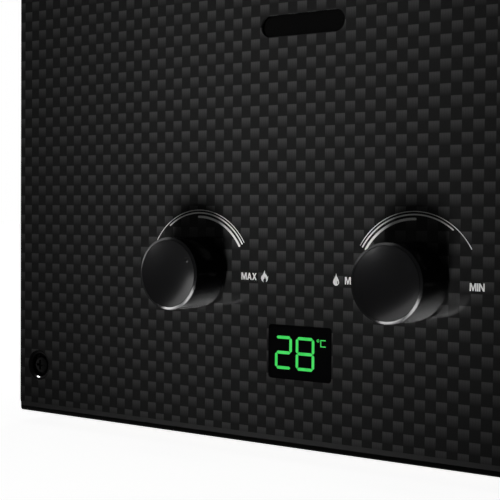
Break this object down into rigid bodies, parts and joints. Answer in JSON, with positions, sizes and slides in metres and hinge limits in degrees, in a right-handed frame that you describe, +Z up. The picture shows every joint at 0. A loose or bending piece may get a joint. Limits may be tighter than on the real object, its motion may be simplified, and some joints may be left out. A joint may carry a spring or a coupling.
{
  "type": "portable propane water heater",
  "caption": "Upright black box heater for outdoor hot water: two round front knobs, small display window, sight slot, louvred rain cap, folding carry handle and pipe fittings underneath.",
  "frame": {"origin": "centre of the footprint at floor level, under the rubber feet", "axes": "+X to the right as the user faces the front, -Y out of the front panel, +Z up"},
  "size_m": [0.2932, 0.14, 0.413],
  "materials": {
    "carbon_panel": "gloss black printed weave",
    "black_steel": "satin black powder coat",
    "zinc_steel": "zinc plated sheet",
    "black_screws": "black zinc",
    "rubber": "matte",
    "grip_rubber": "soft satin",
    "knob_plastic": "satin moulded",
    "black_plastic": "moulded",
    "display_acrylic": "smoked acrylic",
    "circuit_board": "solder mask",
    "sight_glass": "clear",
    "brass": "machined",
    "cast_aluminium": "die cast",
    "copper": "copper",
    "burner_steel": "stainless",
    "ceramic": "unglazed",
    "battery_jacket": "plain grey jacket"
  },
  "bodies": {
    "case": {"front_cover": "carbon_panel", "back_plate": "black_steel", "top_plate": "black_steel", "bottom_tray": "black_steel", "base_rail_right": "black_steel", "base_rail_left": "black_steel", "rubber_feet": "rubber", "rain_cap": "black_steel", "cover_screws": "black_screws", "cap_screws": "black_screws", "side_screws": "black_screws", "handle_bracket_right": "black_steel", "handle_bracket_left": "black_steel", "handle_pins": "black_screws", "display_window": "display_acrylic", "display_module": "black_plastic", "display_bracket": "black_plastic", "display_board": "circuit_board", "sight_glass": "sight_glass", "sight_frame": "zinc_steel", "gas_valve_body": "cast_aluminium", "gas_solenoid": "zinc_steel", "water_valve_body": "brass", "diaphragm_cover": "brass", "diaphragm_screws": "zinc_steel", "microswitch": "black_plastic", "gas_inlet": "brass", "water_inlet": "brass", "water_outlet": "brass", "lock_nuts": "brass", "drain_plug": "black_plastic", "gas_manifold": "cast_aluminium", "burner_blades": "burner_steel", "burner_frame": "zinc_steel", "combustion_chamber": "copper", "fin_block": "copper", "exchanger_tube": "copper", "water_coil": "copper", "cold_pipe": "copper", "hot_pipe": "copper", "flue_hood": "zinc_steel", "spark_electrode": "ceramic", "flame_sensor": "ceramic", "electrode_bracket": "zinc_steel", "overheat_switch": "black_plastic", "control_box": "black_plastic", "chamber_brackets": "zinc_steel", "battery_box": "black_plastic", "door_pins": "zinc_steel", "battery_cells": "battery_jacket", "battery_contacts": "zinc_steel"},
    "handle": {"handle_bar": "black_steel", "handle_grip": "grip_rubber"},
    "gas_control": {"gas_knob": "knob_plastic", "gas_spindle": "brass"},
    "water_control": {"water_knob": "knob_plastic", "water_spindle": "brass"},
    "door": {"battery_door": "black_plastic"},
    "valve_rod": {"push_rod": "brass"},
    "switch_arm": {"switch_lever": "zinc_steel"}
  },
  "joints": [
    {"name": "handle_fold", "type": "hinge", "parent": "case", "child": "handle", "pos_m": [0, -0.022, 0.395], "axis": [1, 0, 0], "range_deg": [0, 100]},
    {"name": "gas_knob_turn", "type": "hinge", "parent": "case", "child": "gas_control", "pos_m": [-0.04615, -0.06, 0.068], "axis": [0, -1, 0], "range_deg": [0, 120]},
    {"name": "water_knob_turn", "type": "hinge", "parent": "case", "child": "water_control", "pos_m": [0.04615, -0.06, 0.068], "axis": [0, -1, 0], "range_deg": [0, 120]},
    {"name": "battery_door_swing", "type": "hinge", "parent": "case", "child": "door", "pos_m": [0, 0.0646, 0.0186], "axis": [1, 0, 0], "range_deg": [0, 95]},
    {"name": "push_rod_slide", "type": "slide", "parent": "case", "child": "valve_rod", "axis": [-1, 0, 0], "range_m": [0, 0.003], "stiffness_N_per_m": 400, "springref_m": -0.002},
    {"name": "switch_arm_swing", "type": "hinge", "parent": "case", "child": "switch_arm", "pos_m": [-0.0148, -0.007, 0.086], "axis": [0, 1, 0], "range_deg": [0, 20]}
  ],
  "couplings": [
    {"joint": "switch_arm_swing", "follows": "push_rod_slide", "rad_per_m": 104.72}
  ]
}
